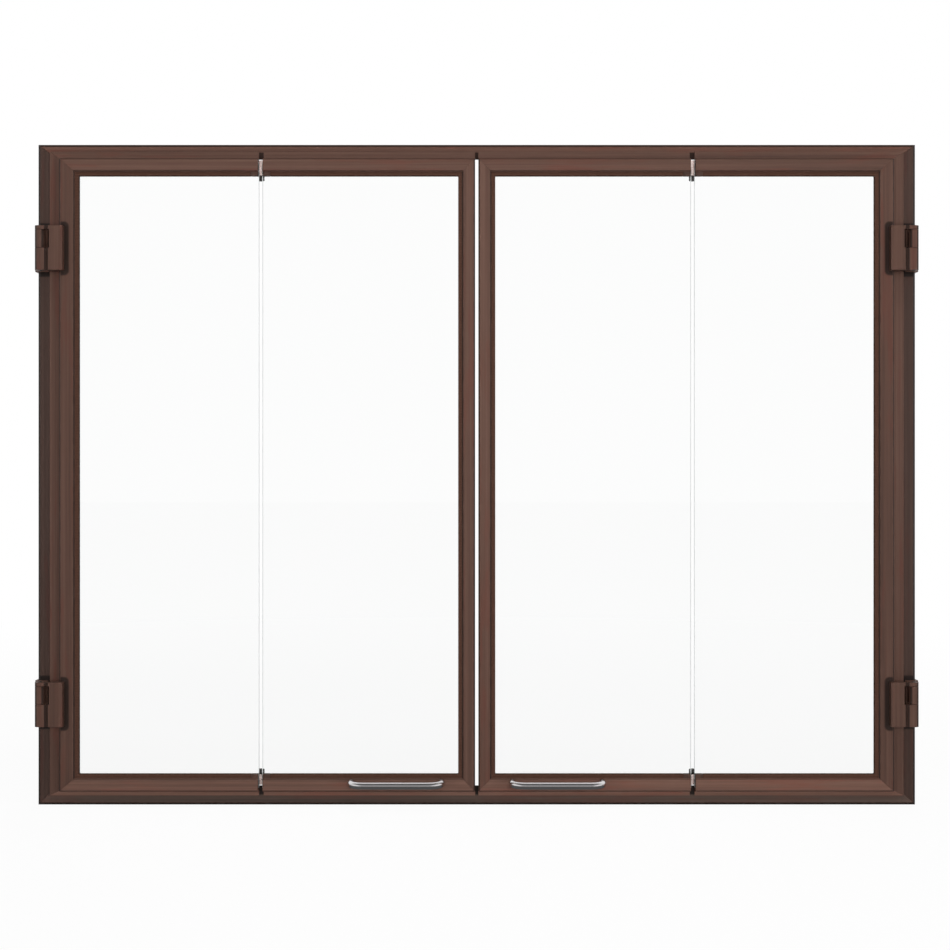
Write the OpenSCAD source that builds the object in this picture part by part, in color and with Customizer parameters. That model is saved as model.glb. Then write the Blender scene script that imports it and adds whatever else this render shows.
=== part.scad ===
// Bi-fold glass door for a fireplace opening: a mitred steel frame with
// two pairs of glass leaves. Each pair hangs on two barrel hinges at the
// jamb and folds on two small hinges at its rails, apex towards the room.
// Origin: middle of the sill's underside. X right, Y into the firebox, Z up.

/* [Outer frame] */
// Overall width of the steel frame
frame_w = 914; // [700:1:1100]
// Overall height of the steel frame
frame_h = 688; // [500:1:900]
// Depth of the frame, front flange to back edge
frame_depth = 26; // [20:1:40]
// Thickness of the angle steel
frame_wall = 3; // [2:0.5:4]
// Face width of the header
header_w = 15.5; // [13:0.5:18]
// Face width of the sill
sill_w = 20; // [17:0.5:23]
// Face width of each jamb
jamb_w = 20; // [17:0.5:23]
// Bevel along the outer front edge of the frame
frame_bevel = 2.4; // [0.4:0.1:2.6]

/* [Leaves] */
// Frame edge left uncovered beside the leaves
margin_side = 13; // [11:0.5:14]
// Frame edge left uncovered above the leaves
margin_top = 8; // [6:0.5:9]
// Frame edge left uncovered below the leaves
margin_bottom = 10.5; // [9:0.5:12]
// Overlap lip at the outer stile
lip_side = 12; // [8:0.5:14]
// Overlap lip along the top rail
lip_top = 8.5; // [6:0.5:9]
// Overlap lip along the bottom rail
lip_bottom = 5.5; // [4:0.5:6]
// Face width of the top and bottom rails
rail_w = 14; // [13:0.5:16]
// Face width of the stile at the jamb
outer_stile_w = 16; // [14:0.5:20]
// Face width of the stile at the middle
centre_stile_w = 13.5; // [12:0.5:18]
// Depth of the channel that holds the glass
channel_depth = 12; // [11:0.5:14]
// Thickness of the channel steel
channel_wall = 2; // [1.5:0.1:2.2]
// Bevel along the channel's front edges
channel_bevel = 1.5; // [0.3:0.1:1.7]
// Gap between the leaves and the face of the frame
leaf_gap = 1; // [0.8:0.1:1.5]
// Gap between the two pairs at the middle
centre_gap = 3.4; // [3:0.2:6]
// Distance from the middle to each fold
fold_x = 224; // [180:1:260]
// Gap between the rails at a fold
fold_gap = 5; // [3.4:0.1:5.6]

/* [Glass] */
// Thickness of the glass
glass_t = 5; // [4:0.5:6]
// Height of the gasket that shows beyond the channel
gasket_proud = 4; // [1.5:0.5:5]
// Thickness of the gasket under the glass edge
gasket_base = 1.5; // [1:0.1:2]
// How far the glass reaches past the end of the rails
glass_over = 0.8; // [0.2:0.1:1]
// Length of the clip that holds the glass at the fold
clip_l = 7.2; // [6:0.2:9]

/* [Side hinges] */
// Height of the middle of the lower hinges
hinge_low_z = 107; // [80:1:140]
// Distance from the frame's top to the middle of the upper hinges
hinge_high_drop = 110; // [80:1:140]
// Height of a side hinge
hinge_h = 46; // [40:1:60]
// Radius of the hinge barrel
barrel_r = 5; // [4:0.1:5.2]
// Radius of the hinge pin
pin_r = 2.5; // [2:0.1:2.8]
// Distance from the frame's edge in to the hinge axis
hinge_inset = 6; // [5:0.1:6.5]
// How far the hinge stands in front of the leaf
hinge_proud = 8; // [5:0.1:9]
// Height of the barrel's top knuckle
top_knuckle_h = 4; // [3:0.5:8]
// Height of the knuckle fixed to the frame
frame_knuckle_h = 19; // [12:1:22]
// Width of the slot between barrel and block
hinge_slot = 5.5; // [4:0.1:7]
// How far the block laps over the stile
block_lap = 5.3; // [1:0.1:7]
// Thickness of the hinge strap
strap_t = 2.5; // [1.5:0.1:3]
// Depth of the hinge strap on the side of the frame
strap_depth = 20; // [16:1:24]

/* [Fold hinges] */
// Radius of the fold hinge barrel
fold_barrel_r = 3; // [2.8:0.1:3]
// Radius of the fold hinge pin
fold_pin_r = 1.5; // [1.2:0.1:1.8]
// Thickness of the fold hinge plates
fold_plate_t = 1.5; // [1:0.1:1.6]
// Length of a fold hinge plate along the rail
fold_plate_l = 20; // [17:1:26]
// Radius of the head on the fold pin
pin_head_r = 3; // [2.4:0.1:3.4]
// Length of the head on the fold pin
pin_head_l = 5.5; // [2.5:0.1:6]
// Distance from the gasket's edge in to the fold hinge
fold_hinge_tuck = 2; // [0.5:0.1:3]
// Clearance from the fold hinges to the frame's edge
fold_hinge_clear = 1.2; // [1:0.1:1.5]

/* [Handles] */
// Distance between the two legs of a handle
handle_centres = 93; // [80:1:110]
// Diameter of the handle's rod
handle_d = 7; // [6:0.5:8]
// How far the handle stands out from the rail
handle_reach = 29; // [25:1:35]
// Bend radius of the rod, at its middle line
handle_bend = 14; // [10:1:18]
// Distance from the middle of the door to the handle's middle
handle_x = 83; // [75:1:100]
// Height of the handle above the lower edge of the channel
handle_rise = 10.5; // [8.5:0.1:10.5]

/* [Catches] */
// Length of a magnet
magnet_l = 20; // [14:1:24]
// Height of a magnet
magnet_h = 9; // [6:0.5:10]
// Thickness of a magnet
magnet_t = 2.4; // [2:0.1:2.6]
// Thickness of the strike plate
strike_t = 1; // [0.8:0.1:1]
// Gap between magnet and strike
catch_gap = 0.4; // [0.3:0.1:0.8]
// Distance from the leaf's free edge to the catch
catch_inset = 18; // [16:1:40]

/* [Mounting clips] */
// Distance from a side hinge to the mounting clip next to it
clip_from_hinge = 65; // [50:1:120]
// Width of a mounting clip
clip_w = 30; // [24:1:40]
// Length of a mounting clip
clip_length = 50; // [45:1:70]
// Thickness of a mounting clip
clip_t = 2; // [1.5:0.5:3]
// Radius of the screw hole in a mounting clip
clip_hole_r = 2.75; // [2:0.25:3.5]

/* [Hidden] */
$fn = 48;
run_fit = 0.05;                 // radial clearance of a turning pin
knuckle_gap = 0.3;              // gap between turning knuckles
cut = 1;                        // overrun of a cutting tool
reach = 200;                    // half depth of a mitre tool
mitre_over = 0.2;               // overrun of a mitre line, as a share of its width

face_y = -frame_depth / 2;      // face of the outer frame
back_y = face_y - leaf_gap;     // back of the leaves
front_y = back_y - channel_depth;
edge_x = frame_w / 2;

lip_x = edge_x - margin_side;   // outer edge of a pair
bar_x = lip_x - lip_side;       // outer face of the jamb-side stile
bar_top = frame_h - margin_top - lip_top;
bar_low = margin_bottom + lip_bottom;
free_x = centre_gap / 2;        // free edge of an inner leaf
outer_len = bar_x - fold_x - fold_gap / 2;
inner_len = fold_x - fold_gap / 2 - free_x;

axis_x = edge_x - hinge_inset;  // side hinge axis
axis_y = front_y - hinge_proud + barrel_r;
fold_y = back_y + fold_barrel_r;
hinge_zs = [hinge_low_z, frame_h - hinge_high_drop];

edge_land = 0.2;                // left of the wall beside a channel's bevel
channel_edge = min(channel_bevel, channel_wall - edge_land);
slot_side = (channel_depth - 2 * channel_wall - glass_t) / 2;
glass_y0 = front_y + channel_wall + slot_side;
edge_in = channel_wall + gasket_base;    // channel face to glass edge

// heights of the fold hinges, low and high
fold_low = [sill_w + fold_hinge_clear,
            bar_low + rail_w + gasket_proud - fold_hinge_tuck];
fold_high = [bar_top - rail_w - gasket_proud + fold_hinge_tuck,
             frame_h - header_w - fold_hinge_clear];
fold_zs = [fold_low, fold_high];
// screws in the middle of each plate's part that lies on the rail
fold_screw_zs = [(fold_low[0] + bar_low + rail_w) / 2,
                 (bar_top - rail_w + fold_high[1]) / 2];
fold_screw_inset = 5.5;         // from the rails' end to the first screw
fold_screw_edge = 4.5;          // from the plate's far edge to the second
fold_screw_xs = [fold_screw_inset, fold_plate_l - fold_screw_edge];
fold_screw_r = 1.5;
fold_screw_head_r = 2.8;
fold_screw_head_t = 1;

strap_edge = strap_t / 2;       // bevel on the strap's bend starts here
strap_screw_z = 14;
strap_screw_r = 2;
strap_screw_head_r = 3.8;
strap_screw_edge = 7;
strap_screw_y = face_y + strap_depth - strap_screw_edge;

handle_z = bar_low + handle_rise;
handle_r = handle_d / 2;
handle_screw_r = 2;
handle_screw_head_r = 3.4;
handle_screw_l = 12;

catch_x = free_x + catch_inset + magnet_l / 2;
catch_rim = 2;
catch_shelf = 1;                // rim above and below the magnet
catch_z = bar_top - rail_w / 2;
catch_plate_t = 2.5;
catch_screw_r = 1.75;
catch_screw_head_t = 1.8;
catch_screw_skin = 1;           // left in front of the blind tapped hole
catch_screw_drop = 1;           // below the middle of the header's face
catch_screw_z = frame_h - header_w / 2 - catch_screw_drop;
catch_top = frame_h - frame_wall - catch_shelf;

clip_zs = [hinge_low_z + clip_from_hinge,
           frame_h - hinge_high_drop - clip_from_hinge];
clip_setback = 1.5;             // behind the frame's flange
clip_hole_edge = 8;
clip_y0 = face_y + frame_wall + clip_setback;
clip_hole_y = clip_y0 + clip_length - clip_hole_edge;
clip_screw_r = 2.5;
clip_screw_head_r = 4.4;
clip_screw_head_t = 2.4;
clip_screw_edge = 7;            // from the clip's side to a screw
clip_screw_zs = [clip_screw_edge - clip_w / 2, clip_w / 2 - clip_screw_edge];
clip_screw_inset = 10;
clip_screw_y = clip_y0 + clip_screw_inset;

pad_r = 2.2;
pad_t = leaf_gap - knuckle_gap;
pad_xs = [60, 180, 270, 400];

bronze = [0.36, 0.26, 0.22];
dark_steel = [0.16, 0.15, 0.15];
zinc = [0.78, 0.76, 0.73];

// ---- shared shapes ----

// A prism along Y over an outline given in X and Z
module prism_xz(points)
    rotate([90, 0, 0]) linear_extrude(height = 2 * reach, center = true) polygon(points);

// A rod of radius r along Y from y0 to y1
module rod_y(x, z, y0, y1, r)
    translate([x, y0, z]) rotate([-90, 0, 0]) cylinder(h = y1 - y0, r = r);

// A rod of radius r along X from x0 to x1
module rod_x(y, z, x0, x1, r)
    translate([x0, y, z]) rotate([0, 90, 0]) cylinder(h = x1 - x0, r = r);

module box_between(a, b)
    translate(a) cube(b - a);

// ---- outer frame ----

// Section of the angle steel: X runs inwards from the edge, Y runs back
module angle_section(w)
    polygon([[frame_bevel, 0], [w, 0], [w, frame_wall], [frame_wall, frame_wall],
             [frame_wall, frame_depth], [0, frame_depth], [0, frame_bevel]]);

// End of the mitre line beyond the outer edge (s = 0) or the opening (s = 1)
function along(s) = s * (1 + 2 * mitre_over) - mitre_over;
function mitre_low(s) = [-edge_x + along(s) * jamb_w, along(s) * sill_w];
function mitre_high(s) = [-edge_x + along(s) * jamb_w, frame_h - along(s) * header_w];
function flip(p) = [-p[0], p[1]];

module header()
    color(bronze) difference() {
        intersection() {
            translate([0, face_y, frame_h]) rotate([0, 90, 0])
                linear_extrude(height = frame_w, center = true)
                    angle_section(header_w);
            prism_xz([mitre_high(0), mitre_high(1), flip(mitre_high(1)),
                      flip(mitre_high(0))]);
        }
        catch_screws();
    }

module sill()
    color(bronze) intersection() {
        translate([0, face_y, 0]) rotate([0, -90, 0])
            linear_extrude(height = frame_w, center = true) angle_section(sill_w);
        prism_xz([mitre_low(0), mitre_low(1), flip(mitre_low(1)),
                  flip(mitre_low(0))]);
    }

module jamb_left()
    color(bronze) difference() {
        intersection() {
            translate([-edge_x, face_y, 0])
                linear_extrude(height = frame_h) angle_section(jamb_w);
            prism_xz([mitre_low(0), mitre_low(1), mitre_high(1), mitre_high(0)]);
        }
        for (z = clip_zs, dz = clip_screw_zs)
            rod_x(clip_screw_y, z + dz, -edge_x - cut, -edge_x + frame_wall + cut,
                  clip_screw_r);
        for (z = hinge_zs, s = [-1, 1])
            rod_x(strap_screw_y, z + s * strap_screw_z, -edge_x - cut,
                  -edge_x + frame_wall + cut, strap_screw_r);
    }

module jamb_right() mirror([1, 0, 0]) jamb_left();

// ---- mounting clips ----

module clip_pair()
    for (z = clip_zs)
        difference() {
            box_between([-edge_x + frame_wall, clip_y0, z - clip_w / 2],
                        [-edge_x + frame_wall + clip_t, clip_y0 + clip_length,
                         z + clip_w / 2]);
            rod_x(clip_hole_y, z, -edge_x, -edge_x + frame_wall + clip_t + cut,
                  clip_hole_r);
            for (dz = clip_screw_zs)
                rod_x(clip_screw_y, z + dz, -edge_x,
                      -edge_x + frame_wall + clip_t + cut, clip_screw_r);
        }

module clip_screws_side()
    for (z = clip_zs, dz = clip_screw_zs) {
        rod_x(clip_screw_y, z + dz, -edge_x, -edge_x + frame_wall + clip_t,
              clip_screw_r);
        rod_x(clip_screw_y, z + dz, -edge_x + frame_wall + clip_t,
              -edge_x + frame_wall + clip_t + clip_screw_head_t, clip_screw_head_r);
    }

module both_sides() { children(); mirror([1, 0, 0]) children(); }

module mounting_clips() color(zinc) both_sides() clip_pair();
module mounting_clip_screws() color(zinc) both_sides() clip_screws_side();

// ---- side hinges ----

// Height range of the knuckle that belongs to the frame
function frame_knuckle(z) = [z + hinge_h / 2 - top_knuckle_h - frame_knuckle_h,
                             z + hinge_h / 2 - top_knuckle_h];

// Section of the strap: a leg on the jamb's side and one on its face
module strap_section()
    polygon([[-strap_t, -strap_edge], [-strap_edge, -strap_t],
             [edge_x - axis_x + barrel_r, -strap_t], [edge_x - axis_x + barrel_r, 0],
             [0, 0], [0, strap_depth], [-strap_t, strap_depth]]);

// Strap round the corner of the jamb, with the middle knuckle of the barrel
module hinge_straps_left()
    color(bronze) for (z = hinge_zs) {
        k = frame_knuckle(z);
        difference() {
            union() {
                translate([-edge_x, face_y, z - hinge_h / 2])
                    linear_extrude(height = hinge_h) strap_section();
                box_between([-axis_x - barrel_r, axis_y, k[0] + knuckle_gap],
                            [-axis_x + barrel_r / 2, face_y, k[1] - knuckle_gap]);
                translate([-axis_x, axis_y, k[0] + knuckle_gap])
                    cylinder(h = frame_knuckle_h - 2 * knuckle_gap, r = barrel_r);
            }
            translate([-axis_x, axis_y, k[0]])
                cylinder(h = frame_knuckle_h, r = pin_r + run_fit);
            for (s = [-1, 1])
                strap_screw(z + s * strap_screw_z);
        }
    }

module hinge_straps_right() mirror([1, 0, 0]) hinge_straps_left();

// Countersunk screw through a strap into the jamb
module strap_screw(z)
    translate([-edge_x - strap_t, strap_screw_y, z]) rotate([0, 90, 0]) {
        cylinder(h = strap_screw_head_r - strap_screw_r, r1 = strap_screw_head_r,
                 r2 = strap_screw_r);
        cylinder(h = strap_t + frame_wall, r = strap_screw_r);
    }

module hinge_strap_screws()
    color(dark_steel) both_sides()
        for (z = hinge_zs, s = [-1, 1]) strap_screw(z + s * strap_screw_z);

// Block on the outer stile, with the knuckles above and below the frame's
module left_hinge_blocks()
    color(bronze) for (z = hinge_zs) {
        k = frame_knuckle(z);
        low = z - hinge_h / 2;
        high = z + hinge_h / 2;
        block_x = -axis_x + barrel_r + hinge_slot;
        difference() {
            union() {
                box_between([block_x, axis_y - barrel_r, low],
                            [-bar_x, back_y - channel_wall, high]);
                box_between([block_x, axis_y - barrel_r, low],
                            [-bar_x + block_lap, front_y, high]);
                for (r = [[low, k[0]], [k[1], high]]) {
                    translate([-axis_x, axis_y, r[0]])
                        cylinder(h = r[1] - r[0], r = barrel_r);
                    box_between([-axis_x, axis_y - barrel_r, r[0]],
                                [block_x + cut, axis_y + barrel_r / 2, r[1]]);
                }
            }
            translate([-axis_x, axis_y, low - cut])
                cylinder(h = hinge_h + 2 * cut, r = pin_r);
        }
    }

module left_hinge_pins()
    color(dark_steel) for (z = hinge_zs)
        translate([-axis_x, axis_y, z - hinge_h / 2])
            cylinder(h = hinge_h, r = pin_r);

// ---- leaf parts, drawn with the stile's outer face at x = 0 ----

// Section of the glass channel: X runs inwards from its outer face, Y back
module channel_section(w, lip)
    polygon([[channel_edge, 0], [w - channel_edge, 0], [w, channel_edge],
             [w, channel_wall], [channel_wall, channel_wall],
             [channel_wall, channel_depth - channel_wall],
             [w, channel_depth - channel_wall], [w, channel_depth],
             [-lip, channel_depth], [-lip, channel_depth - channel_wall],
             [0, channel_depth - channel_wall], [0, channel_edge]]);

// Points of the bent mitre line at the top and bottom corners
function top_mitre(lip, w) =
    [[-along(1) * lip, bar_top + along(1) * lip_top], [0, bar_top],
     [along(1) * w, bar_top - along(1) * rail_w]];
function low_mitre(lip, w) =
    [[-along(1) * lip, bar_low - along(1) * lip_bottom], [0, bar_low],
     [along(1) * w, bar_low + along(1) * rail_w]];

module stile(lip, w) {
    t = top_mitre(lip, w);
    l = low_mitre(lip, w);
    intersection() {
        translate([0, front_y, bar_low - lip_bottom])
            linear_extrude(height = bar_top + lip_top - bar_low + lip_bottom)
                channel_section(w, lip);
        prism_xz([t[0], t[1], t[2], l[2], l[1], l[0],
                  l[0] - [cut, 0], t[0] - [cut, 0]]);
    }
}

module top_rail(lip, w, length) {
    t = top_mitre(lip, w);
    difference() {
        intersection() {
            translate([-lip, front_y, bar_top]) rotate([0, 90, 0])
                linear_extrude(height = length + lip) channel_section(rail_w, lip_top);
            prism_xz([t[0], t[1], t[2], [length + cut, t[2][1]],
                      [length + cut, t[0][1]]]);
        }
        fold_screw_holes(length, 1);
    }
}

module bottom_rail(lip, w, length) {
    l = low_mitre(lip, w);
    difference() {
        intersection() {
            translate([length, front_y, bar_low]) rotate([0, -90, 0])
                linear_extrude(height = length + lip)
                    channel_section(rail_w, lip_bottom);
            prism_xz([l[0], l[1], l[2], [length + cut, l[2][1]],
                      [length + cut, l[0][1]]]);
        }
        fold_screw_holes(length, 0);
    }
}

module glass(length)
    box_between([edge_in, glass_y0, bar_low + edge_in],
                [length + glass_over, glass_y0 + glass_t, bar_top - edge_in]);

module gasket(w, length)
    difference() {
        box_between([channel_wall, front_y + channel_wall, bar_low + channel_wall],
                    [length - clip_l - knuckle_gap, back_y - channel_wall,
                     bar_top - channel_wall]);
        box_between([w + gasket_proud, front_y, bar_low + rail_w + gasket_proud],
                    [length, back_y, bar_top - rail_w - gasket_proud]);
        glass(length + 2 * cut);
    }

// Clips that hold the glass at the fold, flush with the rails and the gasket
module end_clips(length)
    difference() {
        for (z = [[bar_low + channel_wall, bar_low + rail_w + gasket_proud],
                  [bar_top - rail_w - gasket_proud, bar_top - channel_wall]])
            box_between([length - clip_l - knuckle_gap, front_y + channel_wall, z[0]],
                        [length, back_y - channel_wall, z[1]]);
        glass(length + cut);
    }

// ---- fold hinges, drawn on the leaf: the axis lies beyond the rails' end ----

function fold_axis(length) = length + fold_gap / 2;
function middle(z) = (z[0] + z[1]) / 2;

// Holes for the screws of hinge i: 0 is the lower, 1 the upper
module fold_screw_holes(length, i)
    for (x = fold_screw_xs)
        rod_y(length - x, fold_screw_zs[i], back_y - channel_wall - cut,
              back_y + fold_plate_t + cut, fold_screw_r);

// Plate i with its knuckle over the height range own; the rest is cut back
module fold_plate(length, i, own, bore_r)
    difference() {
        z = fold_zs[i];
        union() {
            box_between([length - fold_plate_l, back_y, z[0]],
                        [fold_axis(length) - fold_barrel_r - 2 * knuckle_gap,
                         back_y + fold_plate_t, z[1]]);
            box_between([length - fold_plate_l, back_y, own[0]],
                        [fold_axis(length), back_y + fold_plate_t, own[1]]);
            translate([fold_axis(length), fold_y, own[0]])
                cylinder(h = own[1] - own[0], r = fold_barrel_r);
        }
        translate([fold_axis(length), fold_y, own[0] - cut])
            cylinder(h = own[1] - own[0] + 2 * cut, r = bore_r);
        fold_screw_holes(length, i);
    }

module fold_screws(length)
    for (z = fold_screw_zs, x = fold_screw_xs) {
        rod_y(length - x, z, back_y - channel_wall, back_y + fold_plate_t,
              fold_screw_r);
        rod_y(length - x, z, back_y + fold_plate_t,
              back_y + fold_plate_t + fold_screw_head_t, fold_screw_head_r);
    }

// The jamb-side leaf carries the knuckle next to the glass
module outer_fold_plates(length) {
    fold_plate(length, 0, [middle(fold_low) + knuckle_gap / 2, fold_low[1]], fold_pin_r);
    fold_plate(length, 1, [fold_high[0], middle(fold_high) - knuckle_gap / 2],
               fold_pin_r);
}

module inner_fold_plates(length) {
    fold_plate(length, 0, [fold_low[0], middle(fold_low) - knuckle_gap / 2],
               fold_pin_r + run_fit);
    fold_plate(length, 1, [middle(fold_high) + knuckle_gap / 2, fold_high[1]],
               fold_pin_r + run_fit);
}

module fold_pins(length)
    translate([fold_axis(length), fold_y, 0]) {
        translate([0, 0, fold_low[0]])
            cylinder(h = fold_low[1] - fold_low[0], r = fold_pin_r);
        translate([0, 0, fold_low[1]]) cylinder(h = pin_head_l, r = pin_head_r);
        translate([0, 0, fold_high[0]])
            cylinder(h = fold_high[1] - fold_high[0], r = fold_pin_r);
        translate([0, 0, fold_high[0] - pin_head_l])
            cylinder(h = pin_head_l, r = pin_head_r);
    }

// ---- placing a leaf of the left pair ----

module at_outer() translate([-bar_x, 0, 0]) children();
module at_inner() translate([-free_x, 0, 0]) mirror([1, 0, 0]) children();

module left_outer_stile() color(bronze) at_outer() stile(lip_side, outer_stile_w);
module left_outer_top_rail()
    color(bronze) at_outer() top_rail(lip_side, outer_stile_w, outer_len);
module left_outer_bottom_rail()
    color(bronze) at_outer() bottom_rail(lip_side, outer_stile_w, outer_len);
module left_outer_glass() color([0.8, 0.9, 0.9, 0.3]) at_outer() glass(outer_len);
module left_outer_gasket()
    color([0.1, 0.1, 0.1]) at_outer() gasket(outer_stile_w, outer_len);
module left_outer_end_clips() color(dark_steel) at_outer() end_clips(outer_len);
module left_outer_fold_plates() color(zinc) at_outer() outer_fold_plates(outer_len);
module left_outer_fold_screws() color(zinc) at_outer() fold_screws(outer_len);
module left_fold_pins() color(dark_steel) at_outer() fold_pins(outer_len);

module left_inner_stile() color(bronze) at_inner() stile(0, centre_stile_w);
module left_inner_top_rail()
    color(bronze) at_inner() top_rail(0, centre_stile_w, inner_len);
module left_inner_bottom_rail()
    color(bronze) difference() {
        at_inner() bottom_rail(0, centre_stile_w, inner_len);
        handle_screw_set();
    }
module left_inner_glass() color([0.8, 0.9, 0.9, 0.3]) at_inner() glass(inner_len);
module left_inner_gasket()
    color([0.1, 0.1, 0.1]) at_inner() gasket(centre_stile_w, inner_len);
module left_inner_end_clips() color(dark_steel) at_inner() end_clips(inner_len);
module left_inner_fold_plates() color(zinc) at_inner() inner_fold_plates(inner_len);
module left_inner_fold_screws() color(zinc) at_inner() fold_screws(inner_len);

// ---- catches ----

// Plate behind the header with a rimmed pocket for the magnet
module catch_bracket()
    difference() {
        union() {
            box_between([-catch_x - magnet_l / 2 - catch_rim, face_y + frame_wall,
                         catch_z - magnet_h / 2 - catch_shelf],
                        [-catch_x + magnet_l / 2 + catch_rim,
                         face_y + frame_wall + catch_plate_t, catch_top]);
            box_between([-catch_x - magnet_l / 2 - catch_rim, face_y + catch_gap,
                         catch_z - magnet_h / 2 - catch_shelf],
                        [-catch_x + magnet_l / 2 + catch_rim, face_y + frame_wall,
                         catch_z + magnet_h / 2 + catch_shelf]);
        }
        magnet();
        rod_y(-catch_x, catch_screw_z, face_y, face_y + frame_depth, catch_screw_r);
    }

module magnet()
    box_between([-catch_x - magnet_l / 2, face_y + catch_gap, catch_z - magnet_h / 2],
                [-catch_x + magnet_l / 2, face_y + catch_gap + magnet_t,
                 catch_z + magnet_h / 2]);

module catch_screw() {
    rod_y(-catch_x, catch_screw_z, face_y + catch_screw_skin,
          face_y + frame_wall + catch_plate_t, catch_screw_r);
    rod_y(-catch_x, catch_screw_z, face_y + frame_wall + catch_plate_t,
          face_y + frame_wall + catch_plate_t + catch_screw_head_t,
          2 * catch_screw_r);
}

module catch_brackets() color(dark_steel) both_sides() catch_bracket();
module catch_magnets() color([0.3, 0.3, 0.32]) both_sides() magnet();
module catch_screws() color(zinc) both_sides() catch_screw();

module left_strike()
    color(zinc) box_between([-catch_x - magnet_l / 2, back_y, catch_z - magnet_h / 2],
                            [-catch_x + magnet_l / 2, back_y + strike_t,
                             catch_z + magnet_h / 2]);

// ---- bumpers on the face of the frame, behind the lips ----

module bumpers()
    color([0.1, 0.1, 0.1]) both_sides()
        for (x = pad_xs, z = [bar_top + lip_top / 2, bar_low - lip_bottom / 2])
            rod_y(-x, z, face_y - pad_t, face_y, pad_r);

// ---- handles ----

// Half of the rod, from its middle to the leg on the rail
module handle_half()
    translate([-handle_x, front_y, handle_z]) {
        rod_x(handle_r - handle_reach, 0, 0, handle_centres / 2 - handle_bend, handle_r);
        translate([handle_centres / 2 - handle_bend,
                   handle_r - handle_reach + handle_bend, 0])
            rotate([0, 0, -90]) rotate_extrude(angle = 90)
                translate([handle_bend, 0]) circle(r = handle_r);
        rod_y(handle_centres / 2, 0, handle_r - handle_reach + handle_bend, 0, handle_r);
    }

module left_handle()
    color([0.6, 0.6, 0.6]) difference() {
        union() {
            handle_half();
            translate([-2 * handle_x, 0, 0]) mirror([1, 0, 0]) handle_half();
        }
        handle_screw_set();
    }

// Countersunk screws from inside the channel into the handle's legs
module handle_screw_set()
    for (s = [-1, 1])
        translate([-handle_x + s * handle_centres / 2, front_y + channel_wall, handle_z])
            rotate([90, 0, 0]) {
                cylinder(h = handle_screw_head_r - handle_screw_r,
                         r1 = handle_screw_head_r, r2 = handle_screw_r);
                cylinder(h = handle_screw_l, r = handle_screw_r);
            }

module left_handle_screws() color(zinc) handle_screw_set();

// ---- the right pair mirrors the left ----

module right_outer_stile() mirror([1, 0, 0]) left_outer_stile();
module right_outer_top_rail() mirror([1, 0, 0]) left_outer_top_rail();
module right_outer_bottom_rail() mirror([1, 0, 0]) left_outer_bottom_rail();
module right_outer_glass() mirror([1, 0, 0]) left_outer_glass();
module right_outer_gasket() mirror([1, 0, 0]) left_outer_gasket();
module right_outer_end_clips() mirror([1, 0, 0]) left_outer_end_clips();
module right_hinge_blocks() mirror([1, 0, 0]) left_hinge_blocks();
module right_hinge_pins() mirror([1, 0, 0]) left_hinge_pins();
module right_outer_fold_plates() mirror([1, 0, 0]) left_outer_fold_plates();
module right_fold_pins() mirror([1, 0, 0]) left_fold_pins();
module right_outer_fold_screws() mirror([1, 0, 0]) left_outer_fold_screws();
module right_inner_stile() mirror([1, 0, 0]) left_inner_stile();
module right_inner_top_rail() mirror([1, 0, 0]) left_inner_top_rail();
module right_inner_bottom_rail() mirror([1, 0, 0]) left_inner_bottom_rail();
module right_inner_glass() mirror([1, 0, 0]) left_inner_glass();
module right_inner_gasket() mirror([1, 0, 0]) left_inner_gasket();
module right_inner_end_clips() mirror([1, 0, 0]) left_inner_end_clips();
module right_inner_fold_plates() mirror([1, 0, 0]) left_inner_fold_plates();
module right_inner_fold_screws() mirror([1, 0, 0]) left_inner_fold_screws();
module right_strike() mirror([1, 0, 0]) left_strike();
module right_handle() mirror([1, 0, 0]) left_handle();
module right_handle_screws() mirror([1, 0, 0]) left_handle_screws();

header();
sill();
jamb_left();
jamb_right();
mounting_clips();
mounting_clip_screws();
hinge_straps_left();
hinge_straps_right();
hinge_strap_screws();
catch_brackets();
catch_magnets();
catch_screws();
bumpers();
left_outer_stile();
left_outer_top_rail();
left_outer_bottom_rail();
left_outer_glass();
left_outer_gasket();
left_outer_end_clips();
left_hinge_blocks();
left_hinge_pins();
left_outer_fold_plates();
left_fold_pins();
left_outer_fold_screws();
left_inner_stile();
left_inner_top_rail();
left_inner_bottom_rail();
left_inner_glass();
left_inner_gasket();
left_inner_end_clips();
left_inner_fold_plates();
left_inner_fold_screws();
left_strike();
left_handle();
left_handle_screws();
right_outer_stile();
right_outer_top_rail();
right_outer_bottom_rail();
right_outer_glass();
right_outer_gasket();
right_outer_end_clips();
right_hinge_blocks();
right_hinge_pins();
right_outer_fold_plates();
right_fold_pins();
right_outer_fold_screws();
right_inner_stile();
right_inner_top_rail();
right_inner_bottom_rail();
right_inner_glass();
right_inner_gasket();
right_inner_end_clips();
right_inner_fold_plates();
right_inner_fold_screws();
right_strike();
right_handle();
right_handle_screws();
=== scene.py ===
"""Bi-fold glass fireplace door: finishes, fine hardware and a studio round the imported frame.

Run as a script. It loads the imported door, gives each piece its finish, models the
panes, handles, hinge blocks, pins and screw heads that stand for plainer solids, and
sets a pale studio with the camera square in front of the door.
"""

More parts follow.
